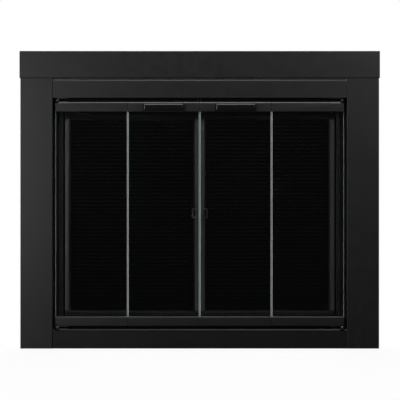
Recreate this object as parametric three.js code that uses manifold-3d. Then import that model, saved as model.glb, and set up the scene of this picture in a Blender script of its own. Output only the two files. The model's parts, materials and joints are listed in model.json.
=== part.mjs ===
// Fireplace glass door: a sheet-metal surround with two bi-fold pairs of glass panels
// and a pair of wire-mesh gates behind them.
//
// Millimetres, +Z up, the front faces -Y. Inside the frame group y = 0 is the masonry face,
// z = 0 is the hearth and x = 0 is the centre line.

import * as THREE from 'three';
import { mergeVertices } from 'three/addons/utils/BufferGeometryUtils.js';
import Module from 'manifold-3d';

const wasm = await Module();
wasm.setup();

// ---------------------------------------------------------------- driving dimensions

// surround
const overallWidth = 990.6;
const overallHeight = 818;
const headerHeight = 75;
const headerOverhang = 2.3;
const headerProud = 1.5;
const headerLine = 2.8;
const stileWidth = 89;
const stileDepth = 44;
const backFlange = 15;
const upperRailHeight = 50.9;
const lowerRailHeight = 53.5;
const railRecess = 1.5;
const railLip = 4;
const lowerRailStep = 1.4;
const lipSlope = 0.5;
const sheet = 1.5;

// glass panels
const panelRecess = 6;
const panelDepth = 16;
const panelSideGap = 7;
const panelTopGap = 11.3;
const panelBottomGap = 8.6;
const centreSeam = 1.3;
const foldSeam = 1.2;
const topRailHeight = 26;
const bottomRailHeight = 25;
const topRailLip = 3.8;
const bottomRailLip = 2.2;
const railWall = 1.6;
const glassThickness = 5;
const glassInset = 10;
const glassClearance = 0.3;

// corner pivots
const pivotInset = 4.6;
const knuckleRadius = 6.6;
const knuckleHeight = 12;
const knuckleNotch = 8.3;
const knuckleDrop = 1.2;
const knuckleShoulder = 0.25;
const knuckleCrown = 0.55;
const pinEndCover = 2;
const pivotPinRadius = 2;
const pivotLeafLength = 30;
const pivotLeafWidth = 11;
const pivotLeafThickness = 1.5;

// fold hinges and guide pins
const foldLeafLength = 22;
const foldLeafHeight = 20;
const foldLeafThickness = 1.5;
const foldKnuckleRadius = 2.6;
const foldPinRadius = 1.2;
const foldAxisStandoff = 3.1;
const foldLeafSetback = 2.2;
const guidePinRadius = 2;
const guidePinInset = 2.95;
const guidePinRise = 3;
const openingAngle = 85;

// pulls on the inner panels
const pullLength = 114;
const pullHeight = 19;
const pullReach = 20;
const pullWall = 3;
const pullCorner = 9;
const pullDrop = 3.5;
const pullTopFlat = 9;
const pullBrowDrop = 4.5;
const pullBrowInset = 2;
const pullNoseDrop = 8;
const pullScrewInset = 15;
const pullScrewRadius = 2;
const screwHeadRadius = 4;
const screwHeadHeight = 2.2;

// inner flanges, jambs and gates
const flangeClearance = 2.3;
const jambFace = 12;
const jambSetback = 15;
const jambBackFlange = 46;
const upperFlangeDrop = 41.3;
const lowerFlangeRise = 30.5;
const gateSideGap = 5;
const gateEndGap = 3.6;
const gateDepth = 8;
const gateBand = 12.5;
const gateCentreGap = 5;
const gateBackGap = 4;
const gatePinRadius = 2.5;
const gatePinLength = 6;
const meshThickness = 1.4;
const meshBorder = 2.4;
const meshStrand = 2.2;
const meshColumns = 8;
const meshRows = 7;

// loop pulls on the gates
const loopHeight = 27;
const loopOuter = 15;
const loopBar = 3.5;
const loopThickness = 3;
const loopStandoff = 3;
const loopOverlap = 8;
const loopPostRadius = 2;
const loopCentreHeight = 371;

// brackets
const bracketLeg = 30;
const bracketSheet = 2;
const bracketHeight = 40;
const hearthReach = 64;
const anchorHoleRadius = 3;
const anchorHoleInset = 16;
const lintelReach = 64;
const lintelSheet = 3;
const lintelWidth = 32;
const lintelRise = 36;
const lintelInset = 153.8;
const lintelOverlap = 16;
const clampScrewRadius = 4;
const clampScrewLength = 48;
const clampHeadRadius = 11;
const clampHeadThickness = 5;
const clampNutRadius = 7.6;

// clearances
const seat = 0.2;
const running = 0.3;
const past = 1;

// ---------------------------------------------------------------- derived places

const stileOuterX = overallWidth / 2 - headerOverhang;
const stileInnerX = stileOuterX - stileWidth;
const headerZ = overallHeight - headerHeight;
const stileTopZ = headerZ - seat;
const upperRailTopZ = headerZ - headerLine;
const upperRailZ = upperRailTopZ - upperRailHeight;
const railFrontY = -stileDepth + railRecess;
const railEndX = stileInnerX - seat;

const panelOuterX = stileInnerX - panelSideGap;
const panelTopZ = upperRailZ - panelTopGap;
const panelBottomZ = lowerRailHeight + panelBottomGap;
const panelFrontY = -stileDepth + panelRecess;
const panelBackY = panelFrontY + panelDepth;
const panelMidY = (panelFrontY + panelBackY) / 2;
const topRailZ = panelTopZ - topRailHeight;
const bottomRailTopZ = panelBottomZ + bottomRailHeight;

const pivotX = panelOuterX - pivotInset;
const pivotY = panelMidY;
const guideX = centreSeam / 2 + guidePinInset;
const foldX = (pivotX + guideX) / 2;
const foldY = panelBackY + foldAxisStandoff;
const flangeFrontY = foldY + foldKnuckleRadius + flangeClearance;
const upperKnuckleZ = (panelTopZ + upperRailZ) / 2 - knuckleDrop;
const lowerKnuckleZ = (panelBottomZ + lowerRailHeight) / 2 - knuckleDrop;

const foldArm = Math.hypot(pivotX - foldX, foldY - pivotY);
const foldRestAngle = Math.atan2(foldY - pivotY, pivotX - foldX);
const openAngle = openingAngle * Math.PI / 180 - foldRestAngle;
const guideOpenX = pivotX - 2 * foldArm * Math.cos(openAngle);

const jambOuterX = stileInnerX - jambSetback;
const jambInnerX = jambOuterX - jambFace;
const jambBackX = jambOuterX + jambBackFlange;
const flangeEndX = jambInnerX - seat;
const upperFlangeZ = upperRailZ - upperFlangeDrop;
const lowerFlangeZ = lowerRailHeight + lowerFlangeRise;

const gateOuterX = jambInnerX - gateSideGap;
const gateInnerX = gateCentreGap / 2;
const gateBackY = -gateBackGap;
const gateFrontY = gateBackY - gateDepth;
const gateTopZ = upperFlangeZ - gateEndGap;
const gateBottomZ = lowerFlangeZ + gateEndGap;
const gateAxisX = gateOuterX - gateBand / 2;
const gateAxisY = (gateFrontY + gateBackY) / 2;

const pullReachY = panelFrontY - seat - pullReach;
const lintelX = railEndX - lintelInset;
const backReach = Math.max(hearthReach, lintelReach);
const masonryY = (-pullReachY - backReach) / 2;

// ---------------------------------------------------------------- solids

function toSolid(geometry) {
  const plain = geometry.index ? geometry.toNonIndexed() : geometry.clone();
  for (const name of Object.keys(plain.attributes)) {
    if (name !== 'position') {
      plain.deleteAttribute(name);
    }
  }
  const merged = mergeVertices(plain, 1e-4);
  const mesh = new wasm.Mesh({
    numProp: 3,
    vertProperties: merged.attributes.position.array,
    triVerts: new Uint32Array(merged.index.array),
  });
  return new wasm.Manifold(mesh);
}

function toGeometry(solid) {
  const mesh = solid.getMesh();
  const geometry = new THREE.BufferGeometry();
  geometry.setAttribute('position', new THREE.BufferAttribute(new Float32Array(mesh.vertProperties), 3));
  geometry.setIndex(new THREE.BufferAttribute(new Uint32Array(mesh.triVerts), 1));
  geometry.computeVertexNormals();
  return geometry;
}

function block(x0, x1, y0, y1, z0, z1) {
  const geometry = new THREE.BoxGeometry(Math.abs(x1 - x0), y1 - y0, z1 - z0);
  geometry.translate((x0 + x1) / 2, (y0 + y1) / 2, (z0 + z1) / 2);
  return toSolid(geometry);
}

function rod(radius, from, to, sides = 16) {
  const start = new THREE.Vector3(...from);
  const end = new THREE.Vector3(...to);
  const along = end.clone().sub(start);
  const geometry = new THREE.CylinderGeometry(radius, radius, along.length(), sides);
  const turn = new THREE.Quaternion();
  turn.setFromUnitVectors(new THREE.Vector3(0, 1, 0), along.normalize());
  geometry.applyQuaternion(turn);
  geometry.translate((start.x + end.x) / 2, (start.y + end.y) / 2, (start.z + end.z) / 2);
  return toSolid(geometry);
}

function outline(points, holes = []) {
  const shape = new THREE.Shape(points.map(([u, v]) => new THREE.Vector2(u, v)));
  for (const hole of holes) {
    shape.holes.push(new THREE.Path(hole.map(([u, v]) => new THREE.Vector2(u, v))));
  }
  return shape;
}

function straightRun(shape, depth) {
  return new THREE.ExtrudeGeometry(shape, { depth, bevelEnabled: false, curveSegments: 8 });
}

// A profile drawn in (y, z), run along x from x0 to x1.
function runAlongX(shape, x0, x1) {
  const geometry = straightRun(shape, x1 - x0);
  const axes = new THREE.Matrix4().makeBasis(
    new THREE.Vector3(0, 1, 0),
    new THREE.Vector3(0, 0, 1),
    new THREE.Vector3(1, 0, 0),
  );
  geometry.applyMatrix4(axes);
  geometry.translate(x0, 0, 0);
  return toSolid(geometry);
}

// A profile drawn in (x, y), run up z from z0 to z1.
function runAlongZ(shape, z0, z1) {
  const geometry = straightRun(shape, z1 - z0);
  geometry.translate(0, 0, z0);
  return toSolid(geometry);
}

// A profile drawn in (x, z), run back along y from y0 to y1.
function runAlongY(shape, y0, y1) {
  const geometry = straightRun(shape, y1 - y0);
  const axes = new THREE.Matrix4().makeBasis(
    new THREE.Vector3(1, 0, 0),
    new THREE.Vector3(0, 0, 1),
    new THREE.Vector3(0, -1, 0),
  );
  geometry.applyMatrix4(axes);
  geometry.translate(0, y1, 0);
  return toSolid(geometry);
}

function joined(solids) {
  return solids.reduce((sum, next) => sum.add(next));
}

function cut(solid, cutters) {
  return cutters.reduce((left, next) => left.subtract(next), solid);
}

function mirrored(solid, side) {
  return side > 0 ? solid : solid.mirror([1, 0, 0]);
}

// ---------------------------------------------------------------- materials

function finish(color, roughness, metalness) {
  return new THREE.MeshStandardMaterial({ color, roughness, metalness });
}

const colours = {
  blackCoat: () => finish(0x1c1d1e, 0.42, 0.2),
  gateCoat: () => finish(0x242526, 0.5, 0.2),
  wire: () => finish(0x0e0e0f, 0.6, 0.3),
  pull: () => finish(0x121213, 0.35, 0.0),
  steel: () => finish(0x8a8c8e, 0.35, 0.9),
  nylon: () => finish(0x18181a, 0.5, 0.0),
  glass: () => new THREE.MeshStandardMaterial({
    color: 0xb9cfcb,
    roughness: 0.04,
    metalness: 0,
    transparent: true,
    opacity: 0.25,
  }),
};

const door = new THREE.Group();
door.position.y = masonryY;

function addPiece(name, solid, material) {
  const mesh = new THREE.Mesh(toGeometry(solid), material());
  mesh.name = name;
  door.add(mesh);
}

const sides = [
  { name: 'left', sign: -1 },
  { name: 'right', sign: 1 },
];

// ---------------------------------------------------------------- surround

function headerCover() {
  const half = overallWidth / 2;
  const front = -stileDepth - headerProud;
  const inner = half - sheet;
  const low = headerZ + sheet;
  const high = overallHeight - sheet;
  const shell = block(-half, half, front, 0, headerZ, overallHeight);
  const hollow = block(-inner, inner, front + sheet, past, low, high);
  return shell.subtract(hollow);
}

function stileCover() {
  const inner = stileInnerX;
  const outer = stileOuterX;
  const front = -stileDepth;
  const returnEnd = -sheet - seat;
  const section = outline([
    [inner, front],
    [outer, front],
    [outer, 0],
    [outer - backFlange, 0],
    [outer - backFlange, -sheet],
    [outer - sheet, -sheet],
    [outer - sheet, front + sheet],
    [inner + sheet, front + sheet],
    [inner + sheet, returnEnd],
    [inner, returnEnd],
  ]);
  return runAlongZ(section, 0, stileTopZ);
}

// The round bite that lets a corner knuckle turn, through everything behind frontY.
function knuckleNotchCutter(z, frontY) {
  return rod(knuckleNotch, [pivotX, frontY - past, z], [pivotX, panelBackY + past, z], 32);
}

// The outline of a strip folded along a path. The path is its outer face, with the sheet on its right.
function foldedStrip(path) {
  const points = path.map(([u, v]) => new THREE.Vector2(u, v));
  const ways = points.slice(1).map((point, index) => point.clone().sub(points[index]).normalize());
  const inner = points.map((point, index) => {
    const before = ways[Math.max(index - 1, 0)];
    const after = ways[Math.min(index, ways.length - 1)];
    const reach = sheet / (1 + before.dot(after));
    return [point.x + reach * (before.y + after.y), point.y - reach * (before.x + after.x)];
  });
  return outline([...path, ...inner.reverse()]);
}

// A channel open at the back, with a slanted lip along its top front edge. The face can lie a step
// behind the lip.
function railChannel(z0, z1, step) {
  const back = -sheet;
  const face = railFrontY + step;
  const joggle = step > 0 ? [[face, z1 - railLip - step]] : [];
  const section = foldedStrip([
    [back, z0],
    [face, z0],
    ...joggle,
    [railFrontY, z1 - railLip],
    [railFrontY + railLip * lipSlope, z1],
    [back, z1],
  ]);
  return runAlongX(section, -railEndX, railEndX);
}

function upperRail() {
  const near = guideX - guidePinRadius - running;
  const far = guideOpenX + guidePinRadius + 2 * running;
  const slotHalf = guidePinRadius + running + seat;
  const slot = block(
    near,
    far,
    pivotY - slotHalf,
    pivotY + slotHalf,
    upperRailZ - past,
    upperRailZ + sheet + past,
  );
  const slots = sides.map(({ sign }) => mirrored(slot, sign));
  return cut(railChannel(upperRailZ, upperRailTopZ, 0), slots);
}

function lowerRail() {
  const footPlace = block(
    railEndX - bracketLeg - 2 * seat,
    railEndX + past,
    railFrontY + lowerRailStep + sheet,
    past,
    -past,
    sheet + past,
  );
  const cutter = footPlace.add(knuckleNotchCutter(lowerKnuckleZ, railFrontY));
  const rail = railChannel(0, lowerRailHeight, lowerRailStep);
  return cut(rail, sides.map(({ sign }) => mirrored(cutter, sign)));
}

// Ties a stile to a rail from inside the rail's channel, whose face is at faceY.
function cornerBracket(faceY, z0, z1) {
  const outer = railEndX - seat;
  const front = faceY + sheet + seat;
  const sideLeg = block(outer - bracketSheet, outer, front, front + bracketLeg, z0, z1);
  const frontLeg = block(outer - bracketLeg, outer, front, front + bracketSheet, z0, z1);
  return sideLeg.add(frontLeg);
}

function upperCornerBracket() {
  const z0 = upperRailZ + sheet + pivotLeafThickness + 3 * seat;
  const z1 = Math.min(z0 + bracketHeight, upperRailTopZ - railLip - sheet);
  return cornerBracket(railFrontY, z0, z1);
}

function hearthBracket() {
  const outer = railEndX - seat;
  const face = railFrontY + lowerRailStep;
  const front = face + sheet + seat;
  const top = lowerKnuckleZ - knuckleNotch - 2 * seat;
  const foot = block(outer - bracketLeg, outer, front, hearthReach, 0, bracketSheet);
  const holeX = outer - bracketLeg / 2;
  const holeY = hearthReach - anchorHoleInset;
  const anchorHole = rod(anchorHoleRadius, [holeX, holeY, -past], [holeX, holeY, bracketSheet + past]);
  return cornerBracket(face, 0, top).add(foot).subtract(anchorHole);
}

function lintelBracket() {
  const z0 = upperRailZ + sheet + seat;
  const x0 = lintelX - lintelWidth / 2;
  const x1 = lintelX + lintelWidth / 2;
  const front = -sheet - lintelOverlap;
  const arm = block(x0, x1, front, lintelReach, z0, z0 + lintelSheet);
  const leg = block(x0, x1, lintelReach - lintelSheet, lintelReach, z0, z0 + lintelRise);
  const screwZ = z0 + lintelRise - lintelWidth / 2;
  const hole = rod(
    clampScrewRadius + running,
    [lintelX, lintelReach - lintelSheet - past, screwZ],
    [lintelX, lintelReach + past, screwZ],
  );
  return arm.add(leg).subtract(hole);
}

function lintelScrew() {
  const x = lintelX;
  const z = upperRailZ + sheet + seat + lintelRise - lintelWidth / 2;
  const tip = lintelReach - clampScrewLength;
  const nutBack = lintelReach - lintelSheet - seat;
  const shaft = rod(clampScrewRadius, [x, tip, z], [x, lintelReach - seat, z]);
  const pad = rod(clampHeadRadius, [x, tip, z], [x, tip + clampHeadThickness, z], 24);
  const nut = rod(clampNutRadius, [x, nutBack - clampHeadThickness, z], [x, nutBack, z], 6);
  return joined([shaft, pad, nut]);
}

// ---------------------------------------------------------------- inner flanges and jambs

function jamb() {
  const section = outline([
    [jambInnerX, flangeFrontY],
    [jambOuterX, flangeFrontY],
    [jambOuterX, -sheet],
    [jambBackX, -sheet],
    [jambBackX, 0],
    [jambOuterX - sheet, 0],
    [jambOuterX - sheet, flangeFrontY + sheet],
    [jambInnerX, flangeFrontY + sheet],
  ]);
  return runAlongZ(section, lowerRailHeight + seat, upperRailZ - seat);
}

function gatePinHole(x, z) {
  return rod(gatePinRadius + running, [x, gateAxisY, z - sheet - past], [x, gateAxisY, z + sheet + past]);
}

function innerFlange(zFree, zFixed) {
  const up = Math.sign(zFixed - zFree);
  const section = outline([
    [flangeFrontY, zFree],
    [-sheet, zFree],
    [-sheet, zFree + up * sheet],
    [flangeFrontY + sheet, zFree + up * sheet],
    [flangeFrontY + sheet, zFixed - up * sheet],
    [-sheet, zFixed - up * sheet],
    [-sheet, zFixed],
    [flangeFrontY, zFixed],
  ]);
  const holes = sides.map(({ sign }) => gatePinHole(sign * gateAxisX, zFree));
  return cut(runAlongX(section, -flangeEndX, flangeEndX), holes);
}

// ---------------------------------------------------------------- corner pivots

// One half of a round knuckle: flat at the split, domed at the far end.
function knuckleHalf(zSplit, zEnd) {
  const rise = zEnd - zSplit;
  const steps = 5;
  const profile = [new THREE.Vector2(0, 0), new THREE.Vector2(knuckleRadius, 0)];
  for (let step = 0; step <= steps; step += 1) {
    const angle = (step / steps) * Math.PI / 2;
    const radius = knuckleRadius * (knuckleCrown + (1 - knuckleCrown) * Math.cos(angle));
    const height = Math.abs(rise) * (knuckleShoulder + (1 - knuckleShoulder) * Math.sin(angle));
    profile.push(new THREE.Vector2(radius, height));
  }
  profile.push(new THREE.Vector2(0, Math.abs(rise)));
  const geometry = new THREE.LatheGeometry(profile, 20);
  geometry.rotateX(Math.sign(rise) * Math.PI / 2);
  geometry.translate(pivotX, pivotY, zSplit);
  return toSolid(geometry);
}

function pivotLeaf(z0) {
  const half = pivotLeafWidth / 2;
  const z1 = z0 + pivotLeafThickness;
  return block(pivotX - pivotLeafLength, pivotX, pivotY - half, pivotY + half, z0, z1);
}

const knuckleSplit = running / 2;

function framePivot(top) {
  const centre = top ? upperKnuckleZ : lowerKnuckleZ;
  const up = top ? 1 : -1;
  const half = knuckleHalf(centre + up * knuckleSplit, centre + up * knuckleHeight / 2);
  const leafZ = top ? upperRailZ - seat - pivotLeafThickness : lowerRailHeight + seat;
  const pin = rod(
    pivotPinRadius,
    [pivotX, pivotY, centre + up * knuckleHeight / 4],
    [pivotX, pivotY, centre - up * (knuckleHeight / 2 - pinEndCover)],
  );
  return joined([half, pivotLeaf(leafZ), pin]);
}

function panelPivot(top) {
  const centre = top ? upperKnuckleZ : lowerKnuckleZ;
  const up = top ? 1 : -1;
  const half = knuckleHalf(centre - up * knuckleSplit, centre - up * knuckleHeight / 2);
  const leafZ = top ? panelTopZ + seat : panelBottomZ - seat - pivotLeafThickness;
  const bore = rod(
    pivotPinRadius + running,
    [pivotX, pivotY, centre + up * knuckleHeight],
    [pivotX, pivotY, centre - up * (knuckleHeight / 2 - pinEndCover + running)],
  );
  return half.add(pivotLeaf(leafZ)).subtract(bore);
}

// ---------------------------------------------------------------- glass panels

const panelSpans = {
  outer: [foldX + foldSeam / 2, panelOuterX],
  inner: [centreSeam / 2, foldX - foldSeam / 2],
};

// A hollow rail with a slot along its glass edge and a slanted lip along its top front edge.
function panelRail(z0, z1, lip, slotUp) {
  const slotHalf = glassThickness / 2 + glassClearance;
  const slotDepth = glassInset + glassClearance;
  const low = panelMidY - slotHalf;
  const high = panelMidY + slotHalf;
  const topEdge = [
    [panelBackY, z1],
    ...(slotUp ? [[high, z1], [high, z1 - slotDepth], [low, z1 - slotDepth], [low, z1]] : []),
    [panelFrontY + lip * lipSlope, z1],
    [panelFrontY, z1 - lip],
  ];
  const bottomEdge = [
    [panelFrontY, z0],
    ...(slotUp ? [] : [[low, z0], [low, z0 + slotDepth], [high, z0 + slotDepth], [high, z0]]),
    [panelBackY, z0],
  ];
  const chamberLow = slotUp ? z0 + railWall : z0 + slotDepth + railWall;
  const chamberHigh = slotUp ? z1 - slotDepth - railWall : z1 - railWall;
  const corner = slotUp ? 0 : lip;
  const chamber = [
    [panelFrontY + railWall, chamberLow],
    [panelBackY - railWall, chamberLow],
    [panelBackY - railWall, chamberHigh],
    [panelFrontY + railWall + corner * lipSlope, chamberHigh],
    ...(slotUp ? [] : [[panelFrontY + railWall, chamberHigh - corner]]),
  ];
  return outline([...bottomEdge, ...topEdge], [chamber]);
}

function pullEnds() {
  const [x0, x1] = panelSpans.inner;
  const middle = (x0 + x1) / 2;
  return [middle - pullLength / 2, middle + pullLength / 2];
}

function pullScrewPlaces() {
  const [left, right] = pullEnds();
  return [left + pullScrewInset, right - pullScrewInset];
}

function pullScrewZ() {
  return (topRailZ + glassInset + panelTopZ - topRailLip) / 2;
}

function topRail(kind) {
  const [x0, x1] = panelSpans[kind];
  const solid = runAlongX(panelRail(topRailZ, panelTopZ, topRailLip, false), x0, x1);
  if (kind === 'outer') {
    return solid.subtract(knuckleNotchCutter(upperKnuckleZ, panelFrontY));
  }
  const z = pullScrewZ();
  const holes = pullScrewPlaces().map((x) => (
    rod(pullScrewRadius + running, [x, panelFrontY - past, z], [x, panelBackY + past, z])
  ));
  const pinHole = rod(
    guidePinRadius + seat,
    [guideX, pivotY, panelTopZ - 2 * railWall],
    [guideX, pivotY, panelTopZ + past],
  );
  return cut(solid, [...holes, pinHole]);
}

function bottomRail(kind) {
  const [x0, x1] = panelSpans[kind];
  const solid = runAlongX(panelRail(panelBottomZ, bottomRailTopZ, bottomRailLip, true), x0, x1);
  if (kind === 'outer') {
    return solid.subtract(knuckleNotchCutter(lowerKnuckleZ, panelFrontY));
  }
  return solid;
}

function glassPane(kind) {
  const [x0, x1] = panelSpans[kind];
  const half = glassThickness / 2;
  const z0 = bottomRailTopZ - glassInset;
  const z1 = topRailZ + glassInset;
  return block(x0 + seat, x1 - seat, panelMidY - half, panelMidY + half, z0, z1);
}

function guidePin() {
  const z0 = panelTopZ - railWall;
  const z1 = upperRailZ + sheet + guidePinRise;
  return rod(guidePinRadius, [guideX, pivotY, z0], [guideX, pivotY, z1]);
}

// ---------------------------------------------------------------- fold hinges

// The outer leaf holds the end knuckles and the pin; the inner leaf holds the middle knuckle.
function foldLeaf(kind, zMiddle) {
  const away = kind === 'outer' ? 1 : -1;
  const z0 = zMiddle - foldLeafHeight / 2;
  const z1 = zMiddle + foldLeafHeight / 2;
  const third = foldLeafHeight / 3;
  const leafFront = panelBackY + seat;
  const nearX = foldX + away * foldLeafSetback;
  const farX = foldX + away * foldLeafLength;
  const leafBack = leafFront + foldLeafThickness;
  const plate = block(Math.min(nearX, farX), Math.max(nearX, farX), leafFront, leafBack, z0, z1);
  const onAxis = (radius, low, high) => rod(radius, [foldX, foldY, low], [foldX, foldY, high]);
  const barrel = (low, high) => onAxis(foldKnuckleRadius, low, high);
  const clearance = (low, high) => onAxis(foldKnuckleRadius + running, low, high);
  const arm = (low, high) => block(
    Math.min(foldX, nearX + away),
    Math.max(foldX, nearX + away),
    foldY - foldLeafThickness,
    foldY + foldLeafThickness / 2,
    low,
    high,
  );
  if (kind === 'outer') {
    const pin = onAxis(foldPinRadius, z0, z1);
    const body = plate.subtract(clearance(z0 + third - running, z1 - third + running));
    const lower = arm(z0, z0 + third).add(barrel(z0, z0 + third));
    const upper = arm(z1 - third, z1).add(barrel(z1 - third, z1));
    return joined([body, lower, upper, pin]);
  }
  const body = cut(plate, [
    clearance(z0 - past, z0 + third + running),
    clearance(z1 - third - running, z1 + past),
  ]);
  const low = z0 + third + running;
  const high = z1 - third - running;
  const bore = onAxis(foldPinRadius + running, z0 - past, z1 + past);
  return joined([body, arm(low, high), barrel(low, high)]).subtract(bore);
}

// ---------------------------------------------------------------- pulls

// A hooded pull: closed above, open below for the fingers, with rounded front corners.
function pull() {
  const [left, right] = pullEnds();
  const back = panelFrontY - seat;
  const front = back - pullReach;
  const top = panelTopZ - pullDrop;
  const low = top - pullHeight;
  const plan = (inset) => {
    const shape = new THREE.Shape();
    const corner = pullCorner - inset;
    const centreY = front + pullCorner;
    shape.moveTo(left + inset, back);
    shape.lineTo(left + inset, centreY);
    shape.absarc(left + pullCorner, centreY, corner, Math.PI, Math.PI * 1.5, false);
    shape.lineTo(right - pullCorner, front + inset);
    shape.absarc(right - pullCorner, centreY, corner, Math.PI * 1.5, Math.PI * 2, false);
    shape.lineTo(right - inset, back);
    return shape;
  };
  const section = (inset) => outline([
    [back + past, low - inset],
    [back + past, top - inset],
    [back - pullTopFlat, top - inset],
    [front + pullBrowInset + inset, top - pullBrowDrop - inset],
    [front + inset, top - pullNoseDrop - inset],
    [front + inset, low - inset],
  ]);
  const body = (inset, z0) => {
    const run = runAlongX(section(inset), left, right);
    return run.intersect(runAlongZ(plan(inset), z0, top));
  };
  const backPlate = block(left, right, back - pullWall, back, low, top - pullWall);
  const z = pullScrewZ();
  const holes = pullScrewPlaces().map((x) => (
    rod(pullScrewRadius + running, [x, back - pullWall - past, z], [x, back + past, z])
  ));
  return cut(body(0, low).subtract(body(pullWall, low - past)).add(backPlate), holes);
}

function pullScrew(x) {
  const z = pullScrewZ();
  const headFront = panelBackY + seat;
  const tip = panelFrontY - seat - pullWall;
  const head = rod(screwHeadRadius, [x, headFront, z], [x, headFront + screwHeadHeight, z]);
  const shaft = rod(pullScrewRadius, [x, tip, z], [x, headFront + screwHeadHeight / 2, z]);
  return head.add(shaft);
}

// ---------------------------------------------------------------- mesh gates

function gateFrame() {
  const body = block(gateInnerX, gateOuterX, gateFrontY, gateBackY, gateBottomZ, gateTopZ);
  const window = block(
    gateInnerX + gateBand,
    gateOuterX - gateBand,
    gateFrontY - past,
    gateBackY + past,
    gateBottomZ + gateBand,
    gateTopZ - gateBand,
  );
  const pin = (z0, z1) => rod(gatePinRadius, [gateAxisX, gateAxisY, z0], [gateAxisX, gateAxisY, z1]);
  const upperPin = pin(gateTopZ - past, gateTopZ + gatePinLength);
  const lowerPin = pin(gateBottomZ - gatePinLength, gateBottomZ + past);
  return joined([body.subtract(window), upperPin, lowerPin]);
}

// Keeps the part of a convex outline whose coordinate number `axis` lies on one side of a limit.
function clipped(points, axis, limit, side) {
  const kept = [];
  points.forEach((point, index) => {
    const next = points[(index + 1) % points.length];
    const inside = side * (point[axis] - limit) > 0;
    const nextInside = side * (next[axis] - limit) > 0;
    if (inside) {
      kept.push(point);
    }
    if (inside !== nextInside) {
      const share = (limit - point[axis]) / (next[axis] - point[axis]);
      kept.push(point.map((value, item) => value + share * (next[item] - value)));
    }
  });
  return kept;
}

// A flat diamond net with a border that lies in the gate frame's window.
function gateMesh() {
  const x0 = gateInnerX + gateBand + running;
  const x1 = gateOuterX - gateBand - running;
  const z0 = gateBottomZ + gateBand + running;
  const z1 = gateTopZ - gateBand - running;
  const low = [x0 + meshBorder, z0 + meshBorder];
  const high = [x1 - meshBorder, z1 - meshBorder];
  const cellX = (high[0] - low[0]) / meshColumns;
  const cellZ = (high[1] - low[1]) / meshRows;
  const cellEdge = Math.hypot(cellX, cellZ);
  const halfX = (cellX - meshStrand * cellEdge / cellZ) / 2;
  const halfZ = (cellZ - meshStrand * cellEdge / cellX) / 2;
  const holes = [];
  for (let row = 0; row <= 2 * meshRows; row += 1) {
    for (let column = row % 2; column <= 2 * meshColumns; column += 2) {
      const u = low[0] + column * cellX / 2;
      const v = low[1] + row * cellZ / 2;
      const atSide = column === 0 || column === 2 * meshColumns;
      const atEnd = row === 0 || row === 2 * meshRows;
      if (atSide && atEnd) {
        continue;
      }
      let hole = [[u - halfX, v], [u, v - halfZ], [u + halfX, v], [u, v + halfZ]];
      for (const axis of [0, 1]) {
        hole = clipped(hole, axis, low[axis], 1);
        hole = clipped(hole, axis, high[axis], -1);
      }
      holes.push(hole);
    }
  }
  const front = gateAxisY - meshThickness / 2;
  const back = gateAxisY + meshThickness / 2;
  const gaps = holes.map((hole) => runAlongY(outline(hole), front - past, back + past));
  return block(x0, x1, front, back, z0, z1).subtract(wasm.Manifold.union(gaps));
}

// A finger loop that stands in front of the closing stile and reaches over the mesh.
function gateLoop() {
  const stileEdge = gateInnerX + gateBand;
  const x0 = stileEdge - loopOverlap;
  const x1 = x0 + loopOuter;
  const z0 = loopCentreHeight - loopHeight / 2;
  const z1 = loopCentreHeight + loopHeight / 2;
  const yBack = gateFrontY - seat - loopStandoff;
  const yFront = yBack - loopThickness;
  const plate = block(x0, x1, yFront, yBack, z0, z1);
  const eye = block(x0 + loopBar, x1 - loopBar, yFront - past, yBack + past, z0 + loopBar, z1 - loopBar);
  const postX = x0 + loopPostRadius;
  const posts = [z0 + loopPostRadius, z1 - loopPostRadius].map((z) => (
    rod(loopPostRadius, [postX, yBack - past, z], [postX, gateFrontY - seat, z])
  ));
  return joined([plate.subtract(eye), ...posts]);
}

// ---------------------------------------------------------------- assembly

addPiece('header_cover', headerCover(), colours.blackCoat);
addPiece('upper_rail', upperRail(), colours.blackCoat);
addPiece('lower_rail', lowerRail(), colours.blackCoat);
addPiece('upper_inner_flange', innerFlange(upperFlangeZ, upperRailZ - seat), colours.gateCoat);
addPiece('lower_inner_flange', innerFlange(lowerFlangeZ, lowerRailHeight + seat), colours.gateCoat);

for (const { name, sign } of sides) {
  const place = (label, solid, material) => addPiece(`${name}_${label}`, mirrored(solid, sign), material);

  place('stile_cover', stileCover(), colours.blackCoat);
  place('upper_corner_bracket', upperCornerBracket(), colours.steel);
  place('hearth_bracket', hearthBracket(), colours.steel);
  place('lintel_bracket', lintelBracket(), colours.steel);
  place('lintel_clamp_screw', lintelScrew(), colours.steel);
  place('jamb_channel', jamb(), colours.gateCoat);
  place('upper_frame_pivot', framePivot(true), colours.blackCoat);
  place('lower_frame_pivot', framePivot(false), colours.blackCoat);

  place('upper_panel_pivot', panelPivot(true), colours.blackCoat);
  place('lower_panel_pivot', panelPivot(false), colours.blackCoat);
  const upperFoldZ = topRailZ + topRailHeight / 2;
  const lowerFoldZ = panelBottomZ + bottomRailHeight / 2;
  for (const kind of ['outer', 'inner']) {
    place(`${kind}_glass`, glassPane(kind), colours.glass);
    place(`${kind}_top_rail`, topRail(kind), colours.blackCoat);
    place(`${kind}_bottom_rail`, bottomRail(kind), colours.blackCoat);
    place(`upper_fold_leaf_${kind}`, foldLeaf(kind, upperFoldZ), colours.blackCoat);
    place(`lower_fold_leaf_${kind}`, foldLeaf(kind, lowerFoldZ), colours.blackCoat);
  }
  place('guide_pin', guidePin(), colours.nylon);
  place('pull', pull(), colours.pull);
  pullScrewPlaces().forEach((x, index) => {
    place(`pull_screw_${index + 1}`, pullScrew(x), colours.steel);
  });

  place('gate_frame', gateFrame(), colours.gateCoat);
  place('gate_mesh', gateMesh(), colours.wire);
  place('gate_loop', gateLoop(), colours.gateCoat);
}

export default door;
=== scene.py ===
import json
import math

import bpy
from mathutils import Matrix, Vector


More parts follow.
